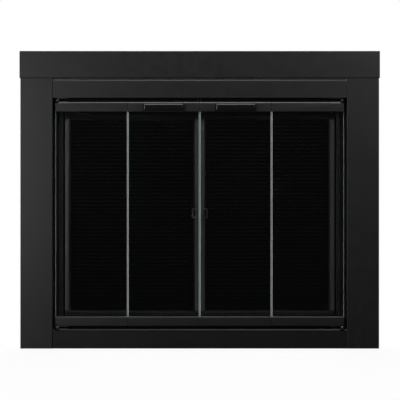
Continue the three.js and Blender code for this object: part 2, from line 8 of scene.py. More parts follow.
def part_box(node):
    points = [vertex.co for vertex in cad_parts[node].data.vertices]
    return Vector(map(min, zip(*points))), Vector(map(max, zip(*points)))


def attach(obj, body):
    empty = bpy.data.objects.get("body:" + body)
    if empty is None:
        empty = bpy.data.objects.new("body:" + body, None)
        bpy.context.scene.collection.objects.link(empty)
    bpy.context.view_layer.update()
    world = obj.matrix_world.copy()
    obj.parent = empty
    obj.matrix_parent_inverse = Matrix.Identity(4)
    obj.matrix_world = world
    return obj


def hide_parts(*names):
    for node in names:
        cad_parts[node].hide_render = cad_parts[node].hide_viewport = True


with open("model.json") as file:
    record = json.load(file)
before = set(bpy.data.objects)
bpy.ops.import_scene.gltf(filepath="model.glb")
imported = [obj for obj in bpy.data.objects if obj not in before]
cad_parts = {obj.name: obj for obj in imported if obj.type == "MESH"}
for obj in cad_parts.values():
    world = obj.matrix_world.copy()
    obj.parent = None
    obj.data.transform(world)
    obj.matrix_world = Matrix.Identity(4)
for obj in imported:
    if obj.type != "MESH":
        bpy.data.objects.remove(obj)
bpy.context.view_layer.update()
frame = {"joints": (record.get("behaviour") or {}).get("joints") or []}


# ---------------------------------------------------------------- header cover
# The wide header is one sheet of black steel folded into a long tray that is open at the back,
# with welded corners. It sits over the tops of both stiles, held by screws from behind. Like all
# the surround it has a satin powder coat. Its downward faces take a thin, matt coat in a darker
# colour: painted shade under the header.

sheet = 0.0015
bend = 0.0022
aligned = 0.9
level_underside = 0.95


def make_active(piece):
    """Makes a piece the only selected one."""
    if bpy.context.mode != "OBJECT":
        bpy.ops.object.mode_set(mode="OBJECT")
    bpy.ops.object.select_all(action="DESELECT")
    piece.select_set(True)
    bpy.context.view_layer.objects.active = piece


def name_piece(name, scale=(1, 1, 1)):
    """Names the newest primitive and works its place, turn and scale into its mesh."""
    piece = bpy.context.object
    piece.name = name
    piece.data.name = name
    piece.scale = scale
    bpy.ops.object.transform_apply(location=True, rotation=True, scale=True)
    return piece


def block(name, low, high):
    """A bar between two corners, to be shaped further."""
    bpy.ops.object.select_all(action="DESELECT")
    bpy.ops.mesh.primitive_cube_add(size=1, location=(Vector(low) + Vector(high)) / 2)
    return name_piece(name, Vector(high) - Vector(low))


def pick(piece, part, wanted):
    """Selects, in edit mode, the faces or edges whose middle and direction pass a test."""
    make_active(piece)
    bpy.ops.object.mode_set(mode="EDIT")
    bpy.ops.mesh.select_mode(type=part)
    bpy.ops.mesh.select_all(action="DESELECT")
    bpy.ops.object.mode_set(mode="OBJECT")
    if part == "FACE":
        for face in piece.data.polygons:
            face.select = wanted(face.center, face.normal)
    else:
        for edge in piece.data.edges:
            start, end = (piece.data.vertices[index].co for index in edge.vertices)
            edge.select = wanted((start + end) / 2, (end - start).normalized())
    bpy.ops.object.mode_set(mode="EDIT")


def stop_editing():
    bpy.ops.object.mode_set(mode="OBJECT")


def bevel_picked(width, segments):
    """Rounds the picked edges and ends the editing."""
    bpy.ops.mesh.bevel(offset=width, offset_type="OFFSET", segments=segments, affect="EDGES")
    stop_editing()


def draw_out(step):
    """Extrudes what is picked by a step."""
    bpy.ops.mesh.extrude_region_move(TRANSFORM_OT_translate={"value": step})


def apply_modifier(piece, kind, **settings):
    """Adds a modifier with its settings and applies it."""
    modifier = piece.modifiers.new(kind.lower(), kind)
    for setting, value in settings.items():
        setattr(modifier, setting, value)
    make_active(piece)
    bpy.ops.object.modifier_apply(modifier=modifier.name)


def soften(piece, width, segments=2, over=60):
    """Takes the sharpness off every edge that turns by more than a number of degrees."""
    apply_modifier(
        piece,
        "BEVEL",
        width=width,
        segments=segments,
        limit_method="ANGLE",
        angle_limit=math.radians(over),
    )


def give_wall(piece, thickness, side):
    """Gives a surface a wall, along its normals (1) or against them (-1)."""
    apply_modifier(piece, "SOLIDIFY", thickness=thickness, offset=side, use_even_offset=True)


class Value:
    """A shader socket that takes part in formulas."""

    def __init__(self, finish, socket):
        self.finish = finish
        self.socket = socket

    def math(self, operation, first, second):
        return self.finish.node("ShaderNodeMath", {"operation": operation}, {0: first, 1: second})

    def __add__(self, other):
        return self.math("ADD", self, other)

    def __sub__(self, other):
        return self.math("SUBTRACT", self, other)

    def __rsub__(self, other):
        return self.math("SUBTRACT", other, self)

    def __mul__(self, other):
        return self.math("MULTIPLY", self, other)

    def __or__(self, other):
        return self.math("MAXIMUM", self, other)

    def __gt__(self, other):
        return self.math("GREATER_THAN", self, other)

    def __abs__(self):
        return self.math("ABSOLUTE", self, 0)

    __radd__ = __add__
    __rmul__ = __mul__


class Finish:
    """The node tree of a material or of the world, while it is being made."""

    def __init__(self, owner):
        owner.use_nodes = True
        self.owner = owner
        self.tree = owner.node_tree
        self.tree.nodes.clear()

    def node(self, kind, settings=None, sockets=None, output=0):
        """Makes a node: settings first, then values or links, and returns one output."""
        made = self.tree.nodes.new(kind)
        for setting, value in (settings or {}).items():
            setattr(made, setting, value)
        for socket, value in (sockets or {}).items():
            if isinstance(value, Value):
                self.tree.links.new(value.socket, made.inputs[socket])
            else:
                made.inputs[socket].default_value = value
        return Value(self, made.outputs[output]) if made.outputs else None

    def place(self):
        return self.node("ShaderNodeTexCoord", output="Object")

    def noise(self, scale, detail=2.0, stretch=(1, 1, 1)):
        """Soft noise with a number of bumps a metre, drawn out along an axis if need be."""
        place = self.node("ShaderNodeMapping", sockets={"Vector": self.place(), "Scale": stretch})
        return self.node(
            "ShaderNodeTexNoise",
            sockets={"Vector": place, "Scale": scale, "Detail": detail},
        )

    def blend(self, share, first, second):
        """A colour between two, by a share from 0 to 1."""
        return self.node(
            "ShaderNodeMix",
            {"data_type": "RGBA"},
            {0: share, 6: (*first, 1), 7: (*second, 1)},
            output=2,
        )

    def bump(self, height, depth):
        return self.node("ShaderNodeBump", sockets={"Height": height, "Distance": depth})

    def surface(self, shader):
        self.node("ShaderNodeOutputMaterial", sockets={"Surface": shader})
        return self.owner

    def skin_shader(self, sockets):
        return self.node("ShaderNodeBsdfPrincipled", sockets=sockets)

    def mix(self, share, first, second):
        """A surface between two, by a share from 0 to 1."""
        return self.node("ShaderNodeMixShader", sockets={0: share, 1: first, 2: second})

    def skin(self, sockets):
        """Ends a material with one principled surface."""
        return self.surface(self.skin_shader(sockets))


def new_finish(name):
    return Finish(bpy.data.materials.new(name))


def painted_metal(name, dark, light, roughness, grain, depth, specular=0.5):
    """Coated steel: a faint cloudiness, an orange-peel skin and hazier patches in the gloss."""
    finish = new_finish(name)
    clouds = finish.noise(14, 3)
    patches = finish.noise(45, 4)
    peel = finish.noise(grain, 2)
    specks = finish.noise(grain * 2.6, 1)
    return finish.skin({
        "Base Color": finish.blend(0.7 * clouds + 0.3 * specks, dark, light),
        "Roughness": roughness + 0.12 * (patches - 0.5) + 0.06 * (specks - 0.5),
        "Specular IOR Level": specular,
        "Normal": finish.bump(0.75 * peel + 0.25 * specks, depth),
    })


def fit(piece, node, body, material, angle=32):
    """Finishes a piece's surface and puts it in the place of its CAD node."""
    make_active(piece)
    bpy.ops.object.shade_smooth_by_angle(angle=math.radians(angle))
    apply_modifier(piece, "WEIGHTED_NORMAL", keep_sharp=True)
    if not piece.data.materials:
        piece.data.materials.append(material)
    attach(piece, body)
    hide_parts(node)


black_coat = painted_metal(
    "satin_black_coat", (0.0030, 0.0031, 0.0034), (0.0050, 0.0052, 0.0056), 0.34, 620, 0.00001
)
# A thin, matt copy of the coat in a darker colour, for the header's underside, the inner flanges and the
# jambs. The darker colour is painted shade.
thin_coat_and_painted_shade = painted_metal(
    "thin_matt_coat_painted_shade", (0.0018, 0.0019, 0.0020), (0.0034, 0.0035, 0.0037), 0.58, 480, 0.00002, 0.1
)

low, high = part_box("header_cover")
header = block("header_tray", low, high)
pick(header, "EDGE", lambda middle, way: middle.y < high.y - sheet)
bevel_picked(bend, 4)
pick(header, "FACE", lambda middle, normal: normal.y > aligned)
bpy.ops.mesh.delete(type="FACE")
stop_editing()
give_wall(header, sheet, -1)
header.data.materials.append(black_coat)
header.data.materials.append(thin_coat_and_painted_shade)
# Downward faces take the darker matt coat: painted shade under the header.
for face in header.data.polygons:
    face.material_index = int(face.normal.z < -level_underside)
fit(header, "header_cover", "surround", black_coat)


# ---------------------------------------------------------------- stile covers
# Each stile cover is a channel of the same black sheet: a broad face, a side that reaches back to
# the masonry, a narrow flange that lies on it and a return beside the glass doors. The left one
# is the mirror image of the right one.

back_flange = 0.015
seat = 0.0002


def fold_sheet(name, corners, start, end, thickness=sheet, radius=bend, upright=False):
    """Folds a strip of sheet. Its corners are met with the inside of the fold on the left.

    They are (y, z) pairs for a strip that runs along x, or (x, y) pairs for an upright one.
    """
    first = Vector(corners[0])
    second = Vector(corners[1])
    leg = second - first
    middle = (first + second) / 2
    bpy.ops.object.select_all(action="DESELECT")
    bpy.ops.mesh.primitive_plane_add(
        size=1,
        location=((start + end) / 2, middle.x, middle.y),
        rotation=(math.atan2(leg.y, leg.x), 0, 0),
    )
    piece = name_piece(name, (end - start, leg.length, 1))
    free_edge = Vector(((start + end) / 2, *second))
    pick(piece, "EDGE", lambda place, way: (place - free_edge).length < thickness / 2)
    for before, after in zip(corners[1:], corners[2:]):
        step = (0, after[0] - before[0], after[1] - before[1])
        draw_out(step)
    stop_editing()
    give_wall(piece, thickness, 1)
    bends = [Vector((0, *corner)) for corner in corners[1:-1]]

    def from_bend(middle):
        return min((middle - Vector((middle.x, 0, 0)) - corner).length for corner in bends)

    def outside_bend(middle, way):
        return abs(way.x) > aligned and from_bend(middle) < thickness / 20

    def inside_bend(middle, way):
        return abs(way.x) > aligned and thickness / 20 < from_bend(middle) < thickness * 1.5

    pick(piece, "EDGE", inside_bend)
    bevel_picked(max(radius - thickness, thickness / 6), 2)
    pick(piece, "EDGE", outside_bend)
    bevel_picked(radius, 4)
    soften(piece, thickness / 8, 1)
    if upright:
        turn_upright = Matrix(((0, 1, 0, 0), (0, 0, 1, 0), (1, 0, 0, 0), (0, 0, 0, 1)))
        piece.matrix_world = turn_upright
        make_active(piece)
        bpy.ops.object.transform_apply(location=True, rotation=True, scale=True)
    return piece


def mirror_image(piece, name):
    """A copy on the other side of the door, with a mesh of its own."""
    copy = piece.copy()
    copy.data = piece.data.copy()
    copy.name = name
    copy.data.name = name
    bpy.context.collection.objects.link(copy)
    copy.data.transform(Matrix.Scale(-1, 4, (1, 0, 0)))
    copy.data.flip_normals()
    return copy


def fit_pair(right_piece, node, body, material, angle=32):
    """Fits a right-hand piece and its mirror image. The names have no side yet."""
    label = right_piece.name
    left_piece = mirror_image(right_piece, f"left_{label}")
    right_piece.name = f"right_{label}"
    for side, piece in (("right", right_piece), ("left", left_piece)):
        home = body if body == "surround" else f"{side}_{body}"
        fit(piece, f"{side}_{node}", home, material, angle)


low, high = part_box("right_stile_cover")
corners = [
    (low.x, high.y - sheet - seat),
    (low.x, low.y),
    (high.x, low.y),
    (high.x, high.y),
    (high.x - back_flange, high.y),
]
stile = fold_sheet("stile_channel", corners, low.z, high.z, upright=True)
fit_pair(stile, "stile_cover", "surround", black_coat)


# ---------------------------------------------------------------- upper and lower rails
# The rails are folded channels that close the frame above and below the doors. Their top front
# edge is folded twice, which leaves a narrow slanted lip that catches the light. The upper rail's
# bottom leg has a slot for each guide pin. The lower rail is notched round its two pivots, and its
# face is stepped back under the lip.

rail_lip = 0.004
lip_slope = 0.5
upper_lip_slope = 0.6
lower_lip_slope = 0.33
lower_face_step = 0.0014
lip_bend = 0.0005
notch_radius = 0.0083
knuckle_half_height = 0.006
guide_slot_wall = 0.0025
guide_slot_setback = 0.0003
joint_place = {joint["name"]: Vector(joint["pos_m"]) for joint in frame["joints"]}
pivot = joint_place["right_panel_pivot"]


def rod(name, radius, start, end, sides=48):
    """A plain round bar between two points."""
    start = Vector(start)
    end = Vector(end)
    turn = (end - start).to_track_quat("Z", "Y").to_euler()
    bpy.ops.object.select_all(action="DESELECT")
    bpy.ops.mesh.primitive_cylinder_add(
        vertices=sides,
        radius=radius,
        depth=(end - start).length,
        location=(start + end) / 2,
        rotation=turn,
    )
    return name_piece(name)


def cut(piece, tool, operation="DIFFERENCE"):
    """Cuts a tool's shape out of a piece and puts the tool away."""
    apply_modifier(piece, "BOOLEAN", operation=operation, solver="EXACT", object=tool)
    bpy.data.meshes.remove(tool.data)


def weld(piece, tool):
    cut(piece, tool, "UNION")


def drill(piece, radius, start, end, sides=24):
    cut(piece, rod("drill", radius, start, end, sides))


def both_sides(low, high):
    """The same box on the right and on the left."""
    return (low, high), ((-high[0], *low[1:]), (-low[0], *high[1:]))


def rail(name, low, high, slope, step=0):
    """A channel with a slanted lip. Its face may be stepped back under the lip."""
    face = low.y + step
    joggle = [(face, high.z - rail_lip - step)] if step else []
    corners = [
        (high.y, high.z),
        (low.y + rail_lip * slope, high.z),
        (low.y, high.z - rail_lip),
        *joggle,
        (face, low.z),
        (high.y, low.z),
    ]
    return fold_sheet(name, corners, low.x, high.x, radius=lip_bend)


low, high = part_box("upper_rail")
upper_rail = rail("upper_rail_channel", low, high, upper_lip_slope)
slot_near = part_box("right_guide_pin")[0].x - guide_slot_setback
slot_far = pivot.x - guide_slot_setback
slot_low = (slot_near, pivot.y - guide_slot_wall, low.z - sheet)
slot_high = (slot_far, pivot.y + guide_slot_wall, low.z + 2 * sheet)
for ends in both_sides(slot_low, slot_high):
    cut(upper_rail, block("slot_tool", *ends))
fit(upper_rail, "upper_rail", "surround", black_coat)

low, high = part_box("lower_rail")
lower_rail = rail("lower_rail_channel", low, high, lower_lip_slope, lower_face_step)
lower_knuckle_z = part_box("right_lower_frame_pivot")[0].z + knuckle_half_height
for x in (-pivot.x, pivot.x):
    start = (x, low.y - sheet, lower_knuckle_z)
    end = (x, pivot.y + notch_radius, lower_knuckle_z)
    drill(lower_rail, notch_radius, start, end, 48)
# A copy of the satin coat, a little darker and less glossy, for the lower rail: painted shade.
lower_rail_painted_shade_coat = painted_metal(
    "black_coat_painted_shade_copy", (0.0030, 0.0031, 0.0033), (0.0048, 0.0049, 0.0052), 0.36, 620, 0.00001, 0.32
)
fit(lower_rail, "lower_rail", "surround", lower_rail_painted_shade_coat)


# ---------------------------------------------------------------- inner flanges and jambs
# Behind the doors two long channels and two upright Z-shaped jambs line the mouth. They close
# the gaps round the glass and carry the gates' pins. They are folded from the same sheet, in a
# thin, matt black coat whose darker colour is painted shade in the recess behind the doors.

jamb_face = 0.012
pin_hole_radius = 0.0028
gate_pin = joint_place["right_gate_hinge"]

for name, free_end in (("upper_inner_flange", 0), ("lower_inner_flange", 1)):
    low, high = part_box(name)
    corners = [(high.y, high.z), (low.y, high.z), (low.y, low.z), (high.y, low.z)]
    flange = fold_sheet(f"{name}_channel", corners, low.x, high.x, radius=bend / 2)
    free_z = (low.z, high.z)[free_end]
    for x in (-gate_pin.x, gate_pin.x):
        start = (x, gate_pin.y, free_z - 2 * sheet)
        end = (x, gate_pin.y, free_z + 2 * sheet)
        drill(flange, pin_hole_radius, start, end)
    # The flanges take the darker matt coat: painted shade in the recess.
    fit(flange, name, "surround", thin_coat_and_painted_shade)

low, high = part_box("right_jamb_channel")
corners = [
    (low.x, low.y),
    (low.x + jamb_face, low.y),
    (low.x + jamb_face, high.y - sheet),
    (high.x, high.y - sheet),
]
jamb = fold_sheet("jamb_strip", corners, low.z, high.z, radius=bend / 2, upright=True)
fit_pair(jamb, "jamb_channel", "surround", thin_coat_and_painted_shade)


# ---------------------------------------------------------------- brackets
# Zinc-plated angle brackets tie each stile to the rails from inside. The lower ones run back
# along the hearth with a hole for a masonry anchor. Two more reach under the lintel, where a
# hand-turned clamp screw with a round pad presses it against the surround.

plate = 0.002
lintel_plate = 0.003
plate_bend = plate * 1.4
lintel_bend = lintel_plate * 1.4
anchor_hole_radius = 0.003
anchor_hole_inset = 0.016
clamp_hole_radius = 0.0043
clamp_pad = 0.005
pad_edge = 0.0006
clamp_nut = 0.005
nut_radius = 0.0076
clamp_shank = 0.0038
thread_pitch = 0.00125
thread_depth = 0.0004


def zinc_plate(name):
    """Bright zinc: pale patches, a faint bluish and straw tint, and fine rolling lines."""
    finish = new_finish(name)
    patches = finish.noise(60, 3)
    tint = finish.blend(patches, (0.46, 0.48, 0.50), (0.60, 0.59, 0.55))
    lines = finish.noise(900, 2, stretch=(1, 1, 0.04))
    return finish.skin({
        "Base Color": tint,
        "Metallic": 1.0,
        "Roughness": 0.26 + 0.22 * patches + 0.06 * lines,
        "Normal": finish.bump(lines, 0.00001),
    })


def turned(name, start, way, stations, sides=32):
    """A round piece turned about an axis, from pairs of distance and radius."""
    bpy.ops.object.select_all(action="DESELECT")
    bpy.ops.mesh.primitive_circle_add(vertices=sides, radius=stations[0][1], fill_type="NGON")
    piece = name_piece(name)
    pick(piece, "FACE", lambda middle, normal: True)
    bpy.ops.mesh.flip_normals()
    distance, radius = stations[0]
    for next_distance, next_radius in stations[1:]:
        rise = next_distance - distance
        draw_out((0, 0, rise))
        if next_radius != radius:
            growth = next_radius / radius
            bpy.ops.transform.resize(
                value=(growth, growth, 1),
                center_override=(0, 0, next_distance - stations[0][0]),
            )
        distance, radius = next_distance, next_radius
    bpy.ops.mesh.select_all(action="SELECT")
    bpy.ops.mesh.normals_make_consistent(inside=False)
    stop_editing()
    way = Vector(way)
    piece.rotation_euler = way.to_track_quat("Z", "Y").to_euler()
    piece.location = Vector(start) + way.normalized() * stations[0][0]
    make_active(piece)
    bpy.ops.object.transform_apply(location=True, rotation=True, scale=True)
    return piece


zinc = zinc_plate("zinc_plating")

low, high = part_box("right_upper_corner_bracket")
corners = [(low.x, low.y), (high.x, low.y), (high.x, high.y)]
bracket = fold_sheet("corner_angle", corners, low.z, high.z, plate, plate_bend, upright=True)
fit_pair(bracket, "upper_corner_bracket", "surround", zinc)

low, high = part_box("right_hearth_bracket")
leg = high.x - low.x
corners = [(low.x, low.y), (high.x, low.y), (high.x, low.y + leg)]
bracket = fold_sheet("hearth_angle", corners, low.z, high.z, plate, plate_bend, upright=True)
foot = block("foot_tool", (low.x, low.y + plate / 2, low.z), (high.x, high.y, low.z + plate))
pick(foot, "EDGE", lambda middle, way: abs(way.z) > aligned and middle.y > high.y - plate)
bevel_picked(leg / 4, 6)
weld(bracket, foot)
hole_x = (low.x + high.x) / 2
hole_y = high.y - anchor_hole_inset
hole_start = (hole_x, hole_y, low.z - plate)
hole_end = (hole_x, hole_y, low.z + 2 * plate)
drill(bracket, anchor_hole_radius, hole_start, hole_end, 32)
fit_pair(bracket, "hearth_bracket", "surround", zinc)

low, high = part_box("right_lintel_bracket")
corners = [(low.y, low.z), (high.y, low.z), (high.y, high.z)]
bracket = fold_sheet("lintel_angle", corners, low.x, high.x, lintel_plate, lintel_bend)
screw_low, screw_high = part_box("right_lintel_clamp_screw")
screw_x = (screw_low.x + screw_high.x) / 2
screw_z = (screw_low.z + screw_high.z) / 2
hole_start = (screw_x, high.y - 2 * lintel_plate, screw_z)
hole_end = (screw_x, high.y + lintel_plate, screw_z)
drill(bracket, clamp_hole_radius, hole_start, hole_end, 32)
fit_pair(bracket, "lintel_bracket", "surround", zinc)

pad_radius = (screw_high.x - screw_low.x) / 2
length = screw_high.y - screw_low.y
stations = [
    (0, pad_radius * 0.9),
    (pad_edge, pad_radius),
    (clamp_pad - pad_edge, pad_radius),
    (clamp_pad, pad_radius * 0.93),
    (clamp_pad, clamp_shank),
]
thread = clamp_pad + thread_pitch
while thread < length - 2 * thread_pitch:
    stations.append((thread, clamp_shank))
    stations.append((thread + thread_pitch / 2, clamp_shank - thread_depth))
    thread += thread_pitch
stations.append((length, clamp_shank - thread_depth))
clamp = turned("clamp_screw", (screw_x, screw_low.y, screw_z), (0, 1, 0), stations, 24)
nut_back = high.y - lintel_plate - seat
nut_front = nut_back - clamp_nut
nut = rod("nut_tool", nut_radius, (screw_x, nut_front, screw_z), (screw_x, nut_back, screw_z), 6)
soften(nut, 0.0005, 2, over=50)
weld(clamp, nut)
fit_pair(clamp, "lintel_clamp_screw", "surround", zinc)


# ---------------------------------------------------------------- corner pivots
# Each outer door hangs on two small round knuckles, one at its top and one at its bottom corner.
# A knuckle is two turned steel halves that meet face to face: the frame's half has the pin and a
# flat leaf on the rail, the door's half has the bore and a leaf on the door.

knuckle_radius = 0.0066
knuckle_edge = 0.0003
knuckle_steps = 7
crown_share = 0.42
side_share = 0.1
knuckle_gap = 0.00015
leaf_length = 0.030
leaf_width = 0.011
leaf_plate = 0.0015
pin_radius = 0.002
pin_reach = 0.004
pin_play = 0.0003


def worn_black(name):
    """Thin phosphate black on steel, rubbed paler by turning."""
    finish = new_finish(name)
    rubbed = finish.noise(220, 3)
    rings = finish.noise(900, 2, stretch=(0.1, 0.1, 1))
    return finish.skin({
        "Base Color": finish.blend(rubbed, (0.003, 0.003, 0.0032), (0.010, 0.010, 0.0103)),
        "Roughness": 0.24 + 0.10 * rubbed,
        "Specular IOR Level": 1.0,
        "Normal": finish.bump(rings, 0.00001),
    })


def knuckle_stations(height):
    """A ball that is cut flat at the split and at its crown."""
    stations = [(0, knuckle_radius - knuckle_edge), (knuckle_edge, knuckle_radius)]
    for step in range(1, knuckle_steps + 1):
        turn = step / knuckle_steps * math.pi / 2
        radius = knuckle_radius * (crown_share + (1 - crown_share) * math.cos(turn))
        rise = height * (side_share + (1 - side_share) * math.sin(turn))
        stations.append((rise, radius))
    return stations


def pivot_half(name, middle_z, up, leaf_z):
    """One half of a knuckle with its leaf. It points up (1) or down (-1) from the split."""
    split = (pivot.x, pivot.y, middle_z + up * knuckle_gap)
    height = knuckle_half_height - knuckle_gap
    half = turned(name, split, (0, 0, up), knuckle_stations(height), 40)
    leaf = block(
        "leaf_tool",
        (pivot.x - leaf_length, pivot.y - leaf_width / 2, leaf_z),
        (pivot.x, pivot.y + leaf_width / 2, leaf_z + leaf_plate),
    )
    tip = pivot.x - leaf_length
    pick(leaf, "EDGE", lambda place, way: abs(way.z) > aligned and place.x < tip + leaf_plate)
    bevel_picked(leaf_width / 4, 5)
    weld(half, leaf)
    return half


knuckle_steel = worn_black("phosphated_steel")

for level, up in (("upper", 1), ("lower", -1)):
    low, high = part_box(f"right_{level}_frame_pivot")
    middle_z = low.z + pin_reach if up > 0 else high.z - pin_reach
    leaf_z = high.z - leaf_plate if up > 0 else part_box("lower_rail")[1].z + seat
    frame_half = pivot_half(f"{level}_pin_knuckle", middle_z, up, leaf_z)
    pin_tip = middle_z - up * pin_reach
    pin_root = (pivot.x, pivot.y, middle_z + up * knuckle_half_height / 2)
    pin = rod("pin_tool", pin_radius, pin_root, (pivot.x, pivot.y, pin_tip), 24)
    soften(pin, knuckle_edge, 2)
    weld(frame_half, pin)
    fit_pair(frame_half, f"{level}_frame_pivot", "surround", knuckle_steel)

    door_low, door_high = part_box(f"right_outer_{'top' if up > 0 else 'bottom'}_rail")
    leaf_z = door_high.z + seat if up > 0 else door_low.z - seat - leaf_plate
    door_half = pivot_half(f"{level}_bore_knuckle", middle_z, -up, leaf_z)
    bore_start = (pivot.x, pivot.y, middle_z + up * 2 * knuckle_half_height)
    bore_end = (pivot.x, pivot.y, middle_z - up * (pin_reach + pin_play))
    drill(door_half, pin_radius + pin_play, bore_start, bore_end)
    fit_pair(door_half, f"{level}_panel_pivot", "outer_panel", knuckle_steel)


# ---------------------------------------------------------------- door rails
# A thin black rail runs along the top and the bottom of each glass door, rolled from sheet round
# a hollow core, with a slot that grips the glass. Its top front edge is a slanted lip. The outer
# doors' rails are bitten out round the pivots.

lips = {"top": 0.0038, "bottom": 0.0022}
rail_wall = 0.0016
glass_slot = 0.0028
glass_grip = 0.0103
rail_edge = 0.0004
screw_bore = 0.0023
guide_bore = 0.0022
hair = 1e-5


def door_rail(kind, level):
    """A hollow rail with its lip and its glass slot. It also returns its CAD node's corners."""
    low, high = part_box(f"right_{kind}_{level}_rail")
    piece = block(f"{kind}_{level}_rail_bar", low, high)
    lip_line = (0, 0, high.z - lips[level])
    pick(piece, "FACE", lambda middle, normal: True)
    bpy.ops.mesh.bisect(plane_co=lip_line, plane_no=(0, 0, 1))
    pick(piece, "EDGE", lambda middle, way: middle.y < low.y + hair and middle.z > high.z - hair)
    bpy.ops.transform.translate(value=(0, lips[level] * lip_slope, 0))
    stop_editing()
    soften(piece, rail_edge, 2, over=30)
    middle_y = (low.y + high.y) / 2
    slot_z = (low.z - sheet, low.z + glass_grip)
    core_z = (low.z + glass_grip + rail_wall, high.z - lips[level] - rail_wall)
    if level == "bottom":
        slot_z = (high.z - glass_grip, high.z + sheet)
        core_z = (low.z + rail_wall, high.z - glass_grip - rail_wall)
    slot_low = (low.x - sheet, middle_y - glass_slot, slot_z[0])
    slot_high = (high.x + sheet, middle_y + glass_slot, slot_z[1])
    cut(piece, block("slot_tool", slot_low, slot_high))
    core_low = (low.x - sheet, low.y + rail_wall, core_z[0])
    core_high = (high.x + sheet, high.y - rail_wall, core_z[1])
    cut(piece, block("core_tool", core_low, core_high))
    return piece, low, high


for level in ("top", "bottom"):
    piece, low, high = door_rail("outer", level)
    frame_low, frame_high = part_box(f"right_{'upper' if level == 'top' else 'lower'}_frame_pivot")
    knuckle_z = frame_low.z + pin_reach if level == "top" else frame_high.z - pin_reach
    start = (pivot.x, low.y - sheet, knuckle_z)
    end = (pivot.x, high.y + sheet, knuckle_z)
    drill(piece, notch_radius, start, end, 48)
    fit_pair(piece, f"outer_{level}_rail", "outer_panel", black_coat)

screw_places = []
for number in (1, 2):
    low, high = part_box(f"right_pull_screw_{number}")
    screw_places.append(((low.x + high.x) / 2, (low.z + high.z) / 2))

for level in ("top", "bottom"):
    piece, low, high = door_rail("inner", level)
    if level == "top":
        for x, z in screw_places:
            drill(piece, screw_bore, (x, low.y - sheet, z), (x, high.y + sheet, z))
        pin_low, pin_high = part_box("right_guide_pin")
        pin_x = (pin_low.x + pin_high.x) / 2
        drill(piece, guide_bore, (pin_x, pivot.y, pin_low.z), (pin_x, pivot.y, pin_high.z), 48)
    fit_pair(piece, f"inner_{level}_rail", "inner_panel", black_coat)


# ---------------------------------------------------------------- glass
# The panes are 5 mm tempered float glass. Their upright edges are ground flat with a small
# chamfer, and the ground glass shows as a pale grey-green line where two doors meet.

chamfer = 0.0014
outer_chamfer = 0.0005


def clear_glass():
    finish = new_finish("clear_tempered_glass")
    smears = finish.noise(7, 3, stretch=(1, 1, 0.4))
    return finish.skin({
        "Base Color": finish.blend(smears, (0.93, 0.97, 0.96), (0.96, 0.985, 0.98)),
        "Roughness": 0.015 * smears,
        "IOR": 1.5,
        "Transmission Weight": 1.0,
    })


def ground_glass():
    """The wheel leaves a dense frost with faint lines along the edge."""
    finish = new_finish("ground_glass_edge")
    lines = finish.noise(1400, 2, stretch=(1, 1, 0.02))
    patches = finish.noise(25, 2)
    return finish.skin({
        "Base Color": finish.blend(patches, (0.33, 0.375, 0.385), (0.41, 0.455, 0.465)),
        "Roughness": 0.42 + 0.2 * lines,
        "Normal": finish.bump(lines, 0.00002),
    })


glass = clear_glass()
ground_edge = ground_glass()

for kind in ("outer", "inner"):
    low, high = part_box(f"right_{kind}_glass")
    pane = block(f"{kind}_pane", low, high)
    seam_edges = low.x + chamfer if kind == "outer" else high.x
    pick(pane, "EDGE", lambda middle, way: abs(way.z) > aligned and middle.x <= seam_edges)
    bevel_picked(chamfer, 1)
    pick(pane, "EDGE", lambda middle, way: abs(way.z) > aligned and middle.x > seam_edges + chamfer)
    bevel_picked(outer_chamfer, 1)
    pane.data.materials.append(glass)
    pane.data.materials.append(ground_edge)
    for face in pane.data.polygons:
        face.material_index = int(abs(face.normal.x) > 0.5)
    pane.visible_shadow = False
    fit_pair(pane, f"{kind}_glass", f"{kind}_panel", glass)


# ---------------------------------------------------------------- fold hinges
# Each pair of doors folds on two small steel butt hinges behind the rails. One leaf has the end
# knuckles and the pin, the other the middle knuckle, and two flat rivets hold each leaf.

hinge_plate = 0.0015
hinge_gap = 0.0003
leaf_setback = 0.0022
leaf_corner = 0.002
barrel_radius = 0.0026
hinge_pin_radius = 0.0012
rivet_radius = 0.0022
rivet_rise = 0.0009
rivet_shift = 0.003
rivet_inset = 0.7
fold = joint_place["right_panel_fold"]


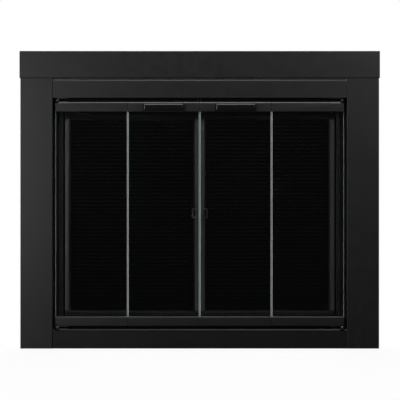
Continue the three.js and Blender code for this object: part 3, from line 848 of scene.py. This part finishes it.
def hinge_leaf(kind, level):
    """A leaf plate, its knuckles bent round the pin, and its rivet heads."""
    low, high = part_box(f"right_{level}_fold_leaf_{kind}")
    away = 1 if kind == "outer" else -1
    edge_x = high.x if away > 0 else low.x
    near_x = fold.x + away * leaf_setback
    ends = sorted((near_x, edge_x))
    leaf_low = (ends[0], low.y, low.z)
    leaf_high = (ends[1], low.y + hinge_plate, high.z)
    leaf = block(f"{level}_hinge_leaf_{kind}", leaf_low, leaf_high)
    pick(leaf, "EDGE", lambda middle, way: abs(way.y) > aligned and abs(middle.x - edge_x) < hair)
    bevel_picked(leaf_corner, 4)
    third = (high.z - low.z) / 3
    spans = [(low.z + third + hinge_gap, high.z - third - hinge_gap)]
    if kind == "outer":
        spans = [(low.z, low.z + third), (high.z - third, high.z)]
    for start_z, end_z in spans:
        start = (fold.x, fold.y, start_z)
        knuckle = rod("knuckle_tool", barrel_radius, start, (fold.x, fold.y, end_z), 24)
        soften(knuckle, hinge_gap, 1)
        arm_ends = sorted((fold.x, near_x + away * leaf_corner / 2))
        arm_low = (arm_ends[0], fold.y - hinge_plate, start_z + hinge_gap / 3)
        arm_high = (arm_ends[1], fold.y + hinge_plate / 2, end_z - hinge_gap / 3)
        weld(knuckle, block("arm_tool", arm_low, arm_high))
        weld(leaf, knuckle)
    pin_end = (fold.x, fold.y, high.z + hinge_gap)
    if kind == "outer":
        pin = rod("pin_tool", hinge_pin_radius, (fold.x, fold.y, low.z), pin_end, 20)
        weld(leaf, pin)
    else:
        bore_start = (fold.x, fold.y, low.z - hinge_gap)
        drill(leaf, hinge_pin_radius + hinge_gap, bore_start, pin_end, 20)
    rivet_x = (near_x + edge_x) / 2 + away * rivet_shift
    for rivet_z in (low.z + third * rivet_inset, high.z - third * rivet_inset):
        start = (rivet_x, low.y + hinge_plate / 2, rivet_z)
        end = (rivet_x, low.y + hinge_plate + rivet_rise, rivet_z)
        head = rod("rivet_tool", rivet_radius, start, end, 20)
        soften(head, rivet_rise * 0.6, 3)
        weld(leaf, head)
    return leaf


for kind in ("outer", "inner"):
    for level in ("upper", "lower"):
        leaf = hinge_leaf(kind, level)
        fit_pair(leaf, f"{level}_fold_leaf_{kind}", f"{kind}_panel", black_coat)


# ---------------------------------------------------------------- guide pins
# A turned nylon pin stands in the top rail of each inner door and runs in the upper rail's slot.
# Its shoulder and rounded tip let it slide without a rattle.


def nylon(name):
    finish = new_finish(name)
    haze = finish.noise(300, 2)
    return finish.skin({
        "Base Color": finish.blend(haze, (0.004, 0.004, 0.0042), (0.009, 0.009, 0.0093)),
        "Roughness": 0.48 + 0.15 * haze,
        "Specular IOR Level": 0.25,
        "Subsurface Weight": 0.02,
        "Normal": finish.bump(haze, 0.00001),
    })


low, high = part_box("right_guide_pin")
radius = (high.x - low.x) / 2
height = high.z - low.z
stations = [
    (0, radius * 0.8),
    (0.0006, radius),
    (height - 0.0016, radius),
    (height - 0.0009, radius * 0.92),
    (height - 0.0003, radius * 0.66),
    (height, radius * 0.3),
]
guide = turned("nylon_guide", ((low.x + high.x) / 2, pivot.y, low.z), (0, 0, 1), stations, 32)
fit_pair(guide, "guide_pin", "inner_panel", nylon("black_nylon"))


# ---------------------------------------------------------------- pulls
# Each inner door has one pull on its top rail: a die-cast hood, closed and rounded above and
# open below for the fingertips, in smooth semi-gloss black. Two screws hold it from behind.

hood_corner = 0.006
hood_brow = 0.0045
hood_wall = 0.003
hood_roof = 0.0065
hood_edge = 0.0009
straight_share = 0.8


def smooth_enamel(name):
    """Thick semi-gloss enamel with fine haze where fingers rub it."""
    finish = new_finish(name)
    rubbed = finish.noise(70, 4)
    ripple = finish.noise(260, 2)
    return finish.skin({
        "Base Color": finish.blend(rubbed, (0.002, 0.002, 0.0021), (0.0045, 0.0045, 0.0047)),
        "Specular IOR Level": 0.55,
        "Roughness": 0.15 + 0.08 * rubbed,
        "Normal": finish.bump(ripple, 0.00001),
    })


low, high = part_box("right_pull")
pull = block("pull_hood", low, high)
pick(pull, "EDGE", lambda middle, way: abs(way.z) > aligned and middle.y < low.y + hair)
bevel_picked(hood_corner, 8)
pick(pull, "EDGE", lambda middle, way: middle.z > high.z - hair and middle.y < high.y - hair)
bevel_picked(hood_brow, 1)
pick(pull, "FACE", lambda middle, normal: normal.z < -aligned)
bpy.ops.mesh.inset(thickness=hood_wall)
hollow = high.z - hood_roof - low.z
for share in (straight_share, 1 - straight_share):
    draw_out((0, 0, hollow * share))
bpy.ops.transform.resize(
    value=(0.96, 0.86, 1),
    center_override=((low.x + high.x) / 2, high.y - hood_wall, low.z),
)
stop_editing()
soften(pull, hood_edge, 3, over=30)
for x, z in screw_places:
    drill(pull, screw_bore, (x, high.y - hood_wall * 1.5, z), (x, high.y + sheet, z))
fit_pair(pull, "pull", "inner_panel", smooth_enamel("semi_gloss_enamel"), 45)


# ---------------------------------------------------------------- pull screws
# Zinc-plated pan-head machine screws pass through the door rail into the back of each pull. The
# head has a cross recess and the shank a rolled thread.

screw_shank = 0.00195
screw_pitch = 0.0007
screw_thread_depth = 0.0003
head_rise = 0.0022
recess_width = 0.0009
recess_reach = 0.0021
recess_depth = 0.0013

for number in (1, 2):
    low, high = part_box(f"right_pull_screw_{number}")
    x, z = screw_places[number - 1]
    head_radius = (high.x - low.x) / 2
    length = high.y - low.y
    stations = [(0, screw_shank * 0.8), (0.0005, screw_shank)]
    thread = 0.001
    while thread < length - head_rise - 0.0012:
        stations.append((thread, screw_shank))
        stations.append((thread + screw_pitch / 2, screw_shank - screw_thread_depth))
        thread += screw_pitch
    stations += [
        (length - head_rise, screw_shank),
        (length - head_rise, head_radius),
        (length - head_rise * 0.55, head_radius),
        (length - head_rise * 0.25, head_radius * 0.93),
        (length - head_rise * 0.06, head_radius * 0.72),
        (length, head_radius * 0.4),
    ]
    screw = turned(f"pull_screw_{number}_turned", (x, low.y, z), (0, 1, 0), stations, 24)
    for reach_x, reach_z in ((recess_reach, recess_width / 2), (recess_width / 2, recess_reach)):
        recess_low = (x - reach_x, high.y - recess_depth, z - reach_z)
        recess_high = (x + reach_x, high.y + recess_depth, z + reach_z)
        cut(screw, block("recess_tool", recess_low, recess_high))
    fit_pair(screw, f"pull_screw_{number}", "inner_panel", zinc, 40)


# ---------------------------------------------------------------- gate frames
# Two hinged gates keep sparks in behind the doors. Each frame is a rectangle of flat bar with
# mitred, welded corners and a step round its window, and it turns on a pin at top and bottom.

band = 0.0125
step_width = 0.0022
step_depth = 0.0024
bar_edge = 0.0007
pin_length = 0.006
gate_pin_radius = 0.0025
pin_chamfer = 0.0006
pin_weld = 0.001


def paint_with_painted_shade(name):
    """Satin black, with a darker matte paint on the back, the step and the end bars: painted shade."""
    finish = new_finish(name)
    wear = finish.noise(30, 4)
    peel = finish.noise(480, 2)
    depth = finish.node("ShaderNodeSeparateXYZ", sockets={0: finish.place()}, output=1)
    height = finish.node("ShaderNodeSeparateXYZ", sockets={0: finish.place()}, output=2)
    # The end bars, shaded by the rails above and below, the step and the back are painted dark and matte:
    # painted shade.
    reach = abs(height - middle_z) + 0.008 * (wear - 0.5)
    end_bar_painted_shade = finish.node(
        "ShaderNodeMapRange",
        sockets={0: reach, 1: window_z - 0.006, 2: window_z + 0.002},
    )
    soot_and_painted_shade = end_bar_painted_shade | (depth > low.y + step_depth / 2)
    satin = finish.skin_shader({
        "Base Color": finish.blend(wear, (0.0035, 0.0037, 0.0040), (0.0070, 0.0073, 0.0077)),
        "Roughness": 0.30 + 0.10 * wear,
        "Specular IOR Level": 0.68,
        "Normal": finish.bump(peel, 0.00002),
    })
    matte = finish.skin_shader({
        "Base Color": finish.blend(wear, (0.0015, 0.0015, 0.0015), (0.0030, 0.0030, 0.0029)),
        "Roughness": 0.62 + 0.10 * wear,
        "Specular IOR Level": 0.1,
    })
    return finish.surface(finish.mix(soot_and_painted_shade, satin, matte))


def ring(name, low, high, width):
    """A rectangular frame of flat bar that stands upright and faces the front."""
    piece = block(name, low, high)
    pick(piece, "FACE", lambda middle, normal: abs(normal.y) > aligned)
    bpy.ops.mesh.inset(thickness=width)
    bpy.ops.mesh.bridge_edge_loops()
    stop_editing()
    return piece


low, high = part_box("right_gate_frame")
body_low = (low.x, low.y, low.z + pin_length)
body_high = (high.x, high.y, high.z - pin_length)
gate = ring("gate_frame_bars", body_low, body_high, band)
middle_x = (low.x + high.x) / 2
window_x = (high.x - low.x) / 2 - band
middle_z = (low.z + high.z) / 2
window_z = (high.z - low.z) / 2 - pin_length - band
stepped_low = (middle_x - window_x - step_width, low.y - sheet, middle_z - window_z - step_width)
stepped_high = (middle_x + window_x + step_width, low.y + step_depth, middle_z + window_z + step_width)
cut(gate, block("step_tool", stepped_low, stepped_high))
soften(gate, bar_edge, 2, over=50)
for z, way in ((body_high[2], 1), (body_low[2], -1)):
    stations = [
        (-pin_weld, gate_pin_radius),
        (pin_length - pin_chamfer, gate_pin_radius),
        (pin_length, gate_pin_radius - bar_edge),
    ]
    pin = turned("pin_tool", (gate_pin.x, gate_pin.y, z), (0, 0, way), stations, 24)
    weld(gate, pin)
# Gate paint with painted shade on the end bars, the step and the back.
gate_paint = paint_with_painted_shade("black_paint_with_painted_shade")
fit_pair(gate, "gate_frame", "gate", gate_paint)


# ---------------------------------------------------------------- gate mesh
# The net is woven from 0.96 mm black wire: every wire runs up in a zigzag and hooks round its
# neighbours, which leaves diamonds about 6 mm wide and 10.4 mm tall. A flat band binds its edge.

wire_radius = 0.00048
diamond_width = 0.0060
diamond_height = 0.0104
hook_overlap = 0.00030
hook_depth = 0.00032
binding = 0.0024


def dull_wire(name):
    """Drawn steel wire, blackened by heat, with paler rubbed spots."""
    finish = new_finish(name)
    soot_and_painted_shade = finish.noise(35, 3)
    spots = finish.noise(500, 2)
    share = 0.6 * soot_and_painted_shade + 0.4 * spots
    return finish.skin({
        "Base Color": finish.blend(share, (0.0005, 0.0005, 0.0005), (0.0020, 0.0020, 0.0021)),
        "Specular IOR Level": 0.14,
        "Roughness": 0.22 + 0.2 * soot_and_painted_shade,
        "Normal": finish.bump(spots, 0.00002),
    })


def zigzag(name, left_x, right_x, y, z, half_period):
    """One period of a wire, from its left hook up to the right one and back."""
    bpy.ops.object.select_all(action="DESELECT")
    bpy.ops.mesh.primitive_circle_add(
        vertices=4,
        radius=wire_radius,
        location=(left_x, y - hook_depth, z),
    )
    piece = name_piece(name)
    pick(piece, "EDGE", lambda middle, way: True)
    for way in (1, -1):
        step = (way * (right_x - left_x), way * 2 * hook_depth, half_period)
        draw_out(step)
    stop_editing()
    return piece


def repeat(piece, count, step, **settings):
    """Repeats a shape a number of times, each time one step further."""
    settings |= {"use_relative_offset": False, "use_constant_offset": True}
    apply_modifier(piece, "ARRAY", count=count, constant_offset_displace=step, **settings)


low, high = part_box("right_gate_mesh")
net = ring("gate_net", low, high, binding)
soften(net, 0.0003, 1)
wires_low = (low.x + binding / 2, low.z + binding / 2)
wires_high = (high.x - binding / 2, high.z - binding / 2)
columns = 2 * round((wires_high[0] - wires_low[0]) / diamond_width)
periods = round((wires_high[1] - wires_low[1]) / diamond_height)
column = (wires_high[0] - wires_low[0]) / columns
period = (wires_high[1] - wires_low[1]) / periods
net_y = (low.y + high.y) / 2
parts = [net]
for wire in (0, 1):
    left_x = wires_low[0] + wire * column - hook_overlap / 2
    right_x = left_x + column + hook_overlap
    ends = (left_x, right_x) if wire == 0 else (right_x, left_x)
    part = zigzag(f"wire_{wire}", *ends, net_y, wires_low[1], period / 2)
    merging = {"use_merge_vertices": True, "merge_threshold": wire_radius / 10}
    repeat(part, periods, (0, 0, period), **merging)
    pick(part, "EDGE", lambda middle, way: abs(way.z) < 0.01 and (
        middle.z < wires_low[1] + hair / 10 or middle.z > wires_high[1] - hair / 10
    ))
    bpy.ops.mesh.fill_holes(sides=4)
    bpy.ops.mesh.select_all(action="SELECT")
    bpy.ops.mesh.normals_make_consistent(inside=False)
    stop_editing()
    repeat(part, columns // 2, (2 * column, 0, 0))
    parts.append(part)
make_active(net)
for part in parts:
    part.select_set(True)
bpy.ops.object.join()
fit_pair(net, "gate_mesh", "gate", dull_wire("dull_black_wire"), 50)


# ---------------------------------------------------------------- gate loops
# A small cast finger loop is fixed by two posts to each gate's closing bar, at the same height,
# and reaches a little over the net.

loop_bar = 0.0035
loop_corner = 0.0022
loop_edge = 0.0009
loop_post = 0.002
loop_standoff = 0.003

low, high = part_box("right_gate_loop")
loop_back = high.y - loop_standoff
loop = ring("finger_loop", low, (high.x, loop_back, high.z), loop_bar)
pick(loop, "EDGE", lambda middle, way: abs(way.y) > aligned)
bevel_picked(loop_corner, 4)
soften(loop, loop_edge, 3, over=50)
for z in (low.z + loop_post, high.z - loop_post):
    start = (low.x + loop_post, loop_back - 0.001, z)
    post = rod("post_tool", loop_post, start, (low.x + loop_post, high.y, z), 24)
    weld(loop, post)
fit_pair(loop, "gate_loop", "gate", gate_paint)


# ---------------------------------------------------------------- floor, backdrop and light
# The surround stands on a pale floor against a white studio wall. The wall is open behind the
# mouth, where two faintly glowing dark cards stand in for the shaded inside of the fireplace and
# give the glass and the net a dark ground: painted shade. They show only through the mouth. Black
# flags round the front keep the white studio out of reflections.

mouth_half_width = 0.43
mouth_height = 0.735
card_distance = 0.42
# The faint glow of the dark cards, which are painted shade.
shade_card_glow = 0.0008
flag_light = 0.01


def plain_plane(name, middle, size, turn=(0, 0, 0)):
    bpy.ops.object.select_all(action="DESELECT")
    bpy.ops.mesh.primitive_plane_add(size=1, location=middle, rotation=turn)
    return name_piece(name, (*size, 1))


def shown_white(finish, strength=1.0):
    return finish.node("ShaderNodeEmission", sockets={"Color": (1, 1, 1, 1), "Strength": strength})


def light_path(finish, output):
    return finish.node("ShaderNodeLightPath", output=output)


def seen_directly(finish):
    """1 for rays from the camera, off a gloss or through glass, 0 once a matte surface is met."""
    seen = light_path(finish, "Is Camera Ray")
    for ray in ("Is Glossy Ray", "Is Transmission Ray"):
        seen = seen | light_path(finish, ray)
    return seen * (1 - (light_path(finish, "Diffuse Depth") > 0))


def from_front_only(name, strength, meeting=None, count=0):
    """A glowing stage surface that is met from its front, and after more meetings than a count."""
    finish = new_finish(name)
    shown = 1 - finish.node("ShaderNodeNewGeometry", output="Backfacing")
    if meeting:
        shown = shown * (light_path(finish, meeting) > count)
    clear = finish.node("ShaderNodeBsdfTransparent")
    return finish.surface(finish.mix(shown, clear, shown_white(finish, strength)))


def unseen():
    finish = new_finish("unseen")
    return finish.surface(finish.node("ShaderNodeBsdfTransparent"))


def pale_floor():
    finish = new_finish("pale_floor")
    scuffs = finish.noise(3, 3)
    matte = finish.skin_shader({
        "Base Color": finish.blend(scuffs, (0.80, 0.80, 0.80), (0.83, 0.83, 0.83)),
        "Roughness": 0.8,
    })
    return finish.surface(finish.mix(0.9 * seen_directly(finish), matte, shown_white(finish)))


floor = plain_plane("floor", (0, 0, 0), (16, 16))
floor.data.materials.append(pale_floor())

quarter = math.radians(90)
facing_front = (quarter, 0, 0)
wall = plain_plane("studio_wall", (0, 0, 4), (12, 8), facing_front)
pick(wall, "FACE", lambda middle, normal: True)
for x in (-mouth_half_width, mouth_half_width):
    bpy.ops.mesh.select_all(action="SELECT")
    bpy.ops.mesh.bisect(plane_co=(x, 0, 0), plane_no=(1, 0, 0))
bpy.ops.mesh.select_all(action="SELECT")
bpy.ops.mesh.bisect(plane_co=(0, 0, mouth_height), plane_no=(0, 0, 1))
stop_editing()
pick(wall, "FACE", lambda middle, normal: abs(middle.x) < mouth_half_width and middle.z < mouth_height)
bpy.ops.mesh.delete(type="FACE")
stop_editing()
wall.data.materials.append(from_front_only("white_wall", 1))

mouth_size = (2 * mouth_half_width, mouth_height)
clear = unseen()
markers = []
for depth in (0.001, 0.002):
    marker = plain_plane("mouth_marker", (0, depth, mouth_height / 2), mouth_size, facing_front)
    marker.data.materials.append(clear)
    markers.append(marker)
# Painted shade: dark cards that glow faintly, in place of the shaded inside of the fireplace.
shade_card = plain_plane("painted_shade_card", (0, card_distance, 0.5), (4, 1.0), facing_front)
low_shade_card = plain_plane("low_painted_shade_card", (0, card_distance / 2, 0.001), (4, card_distance))
for screen in (shade_card, low_shade_card):
    screen.data.materials.append(from_front_only("painted_shade_card", shade_card_glow, "Transparent Depth", 1))

flag = plain_plane("black_flag", (0, -6.5, 2.0), (18, 9), (-quarter, 0, 0))
low_flag = plain_plane("low_black_flag", (0, -3.14, 0.002), (18, 7.12))
left_flag = plain_plane("left_black_flag", (-9, -3.35, 2.0), (6.3, 9), (quarter, 0, quarter))
right_flag = plain_plane("right_black_flag", (9, -3.35, 2.0), (6.3, 9), (quarter, 0, -quarter))
flags = (flag, low_flag, left_flag, right_flag)
for screen in flags:
    screen.data.materials.append(from_front_only("black_flag", flag_light, "Glossy Depth"))
    screen.visible_camera = False
for screen in (wall, *markers, shade_card, low_shade_card, *flags):
    screen.visible_shadow = False
    screen.visible_diffuse = False
    screen.visible_glossy = screen is not wall

studio = bpy.data.worlds.new("studio")
bpy.context.scene.world = studio
finish = Finish(studio)
level = 0.35 + 0.65 * seen_directly(finish)
light = finish.node("ShaderNodeBackground", sockets={"Color": (1, 1, 1, 1), "Strength": level})
finish.node("ShaderNodeOutputWorld", sockets={"Surface": light})

target = Vector((0, 0, 0.42))
for name, spot, size, power in (
    ("left_softbox", (-1.69, -3.18, 0.5), 1.5, 24),
    ("right_softbox", (1.67, -2.89, 1.77), 1.5, 23),
    ("top_softbox", (0, -2.41, 3.1), 1.5, 54),
    ("rear_softbox", (0, 3.0, 2.4), 2.0, 60),
    ("low_rear_softbox", (-1.5, 3.3, 0.8), 1.5, 40),
):
    bpy.ops.object.light_add(type="AREA", location=spot)
    lamp = bpy.context.object
    lamp.name = name
    lamp.data.energy = power
    lamp.data.size = size
    lamp.rotation_euler = (target - Vector(spot)).to_track_quat("-Z", "Y").to_euler()


# ---------------------------------------------------------------- camera
# The door was photographed straight on, from a few metres, at half its height. The picture is
# 400 pixels wide and the header's 990.6 mm take up 360.74 of them.

picture = 400
header_pixels = 360.74
header_centre = 199.7
base_line = 348.7
distance = 4.6

low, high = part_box("header_cover")
pixel = (high.x - low.x) / header_pixels
bpy.ops.object.camera_add(
    location=((picture / 2 - header_centre) * pixel, low.y - distance, (base_line - picture / 2) * pixel),
    rotation=facing_front,
)
camera = bpy.context.object
camera.data.sensor_width = 36
camera.data.lens = camera.data.sensor_width * distance / (picture * pixel)
camera.data.clip_end = 40
bpy.context.scene.camera = camera
bpy.context.scene.view_settings.view_transform = "Standard"
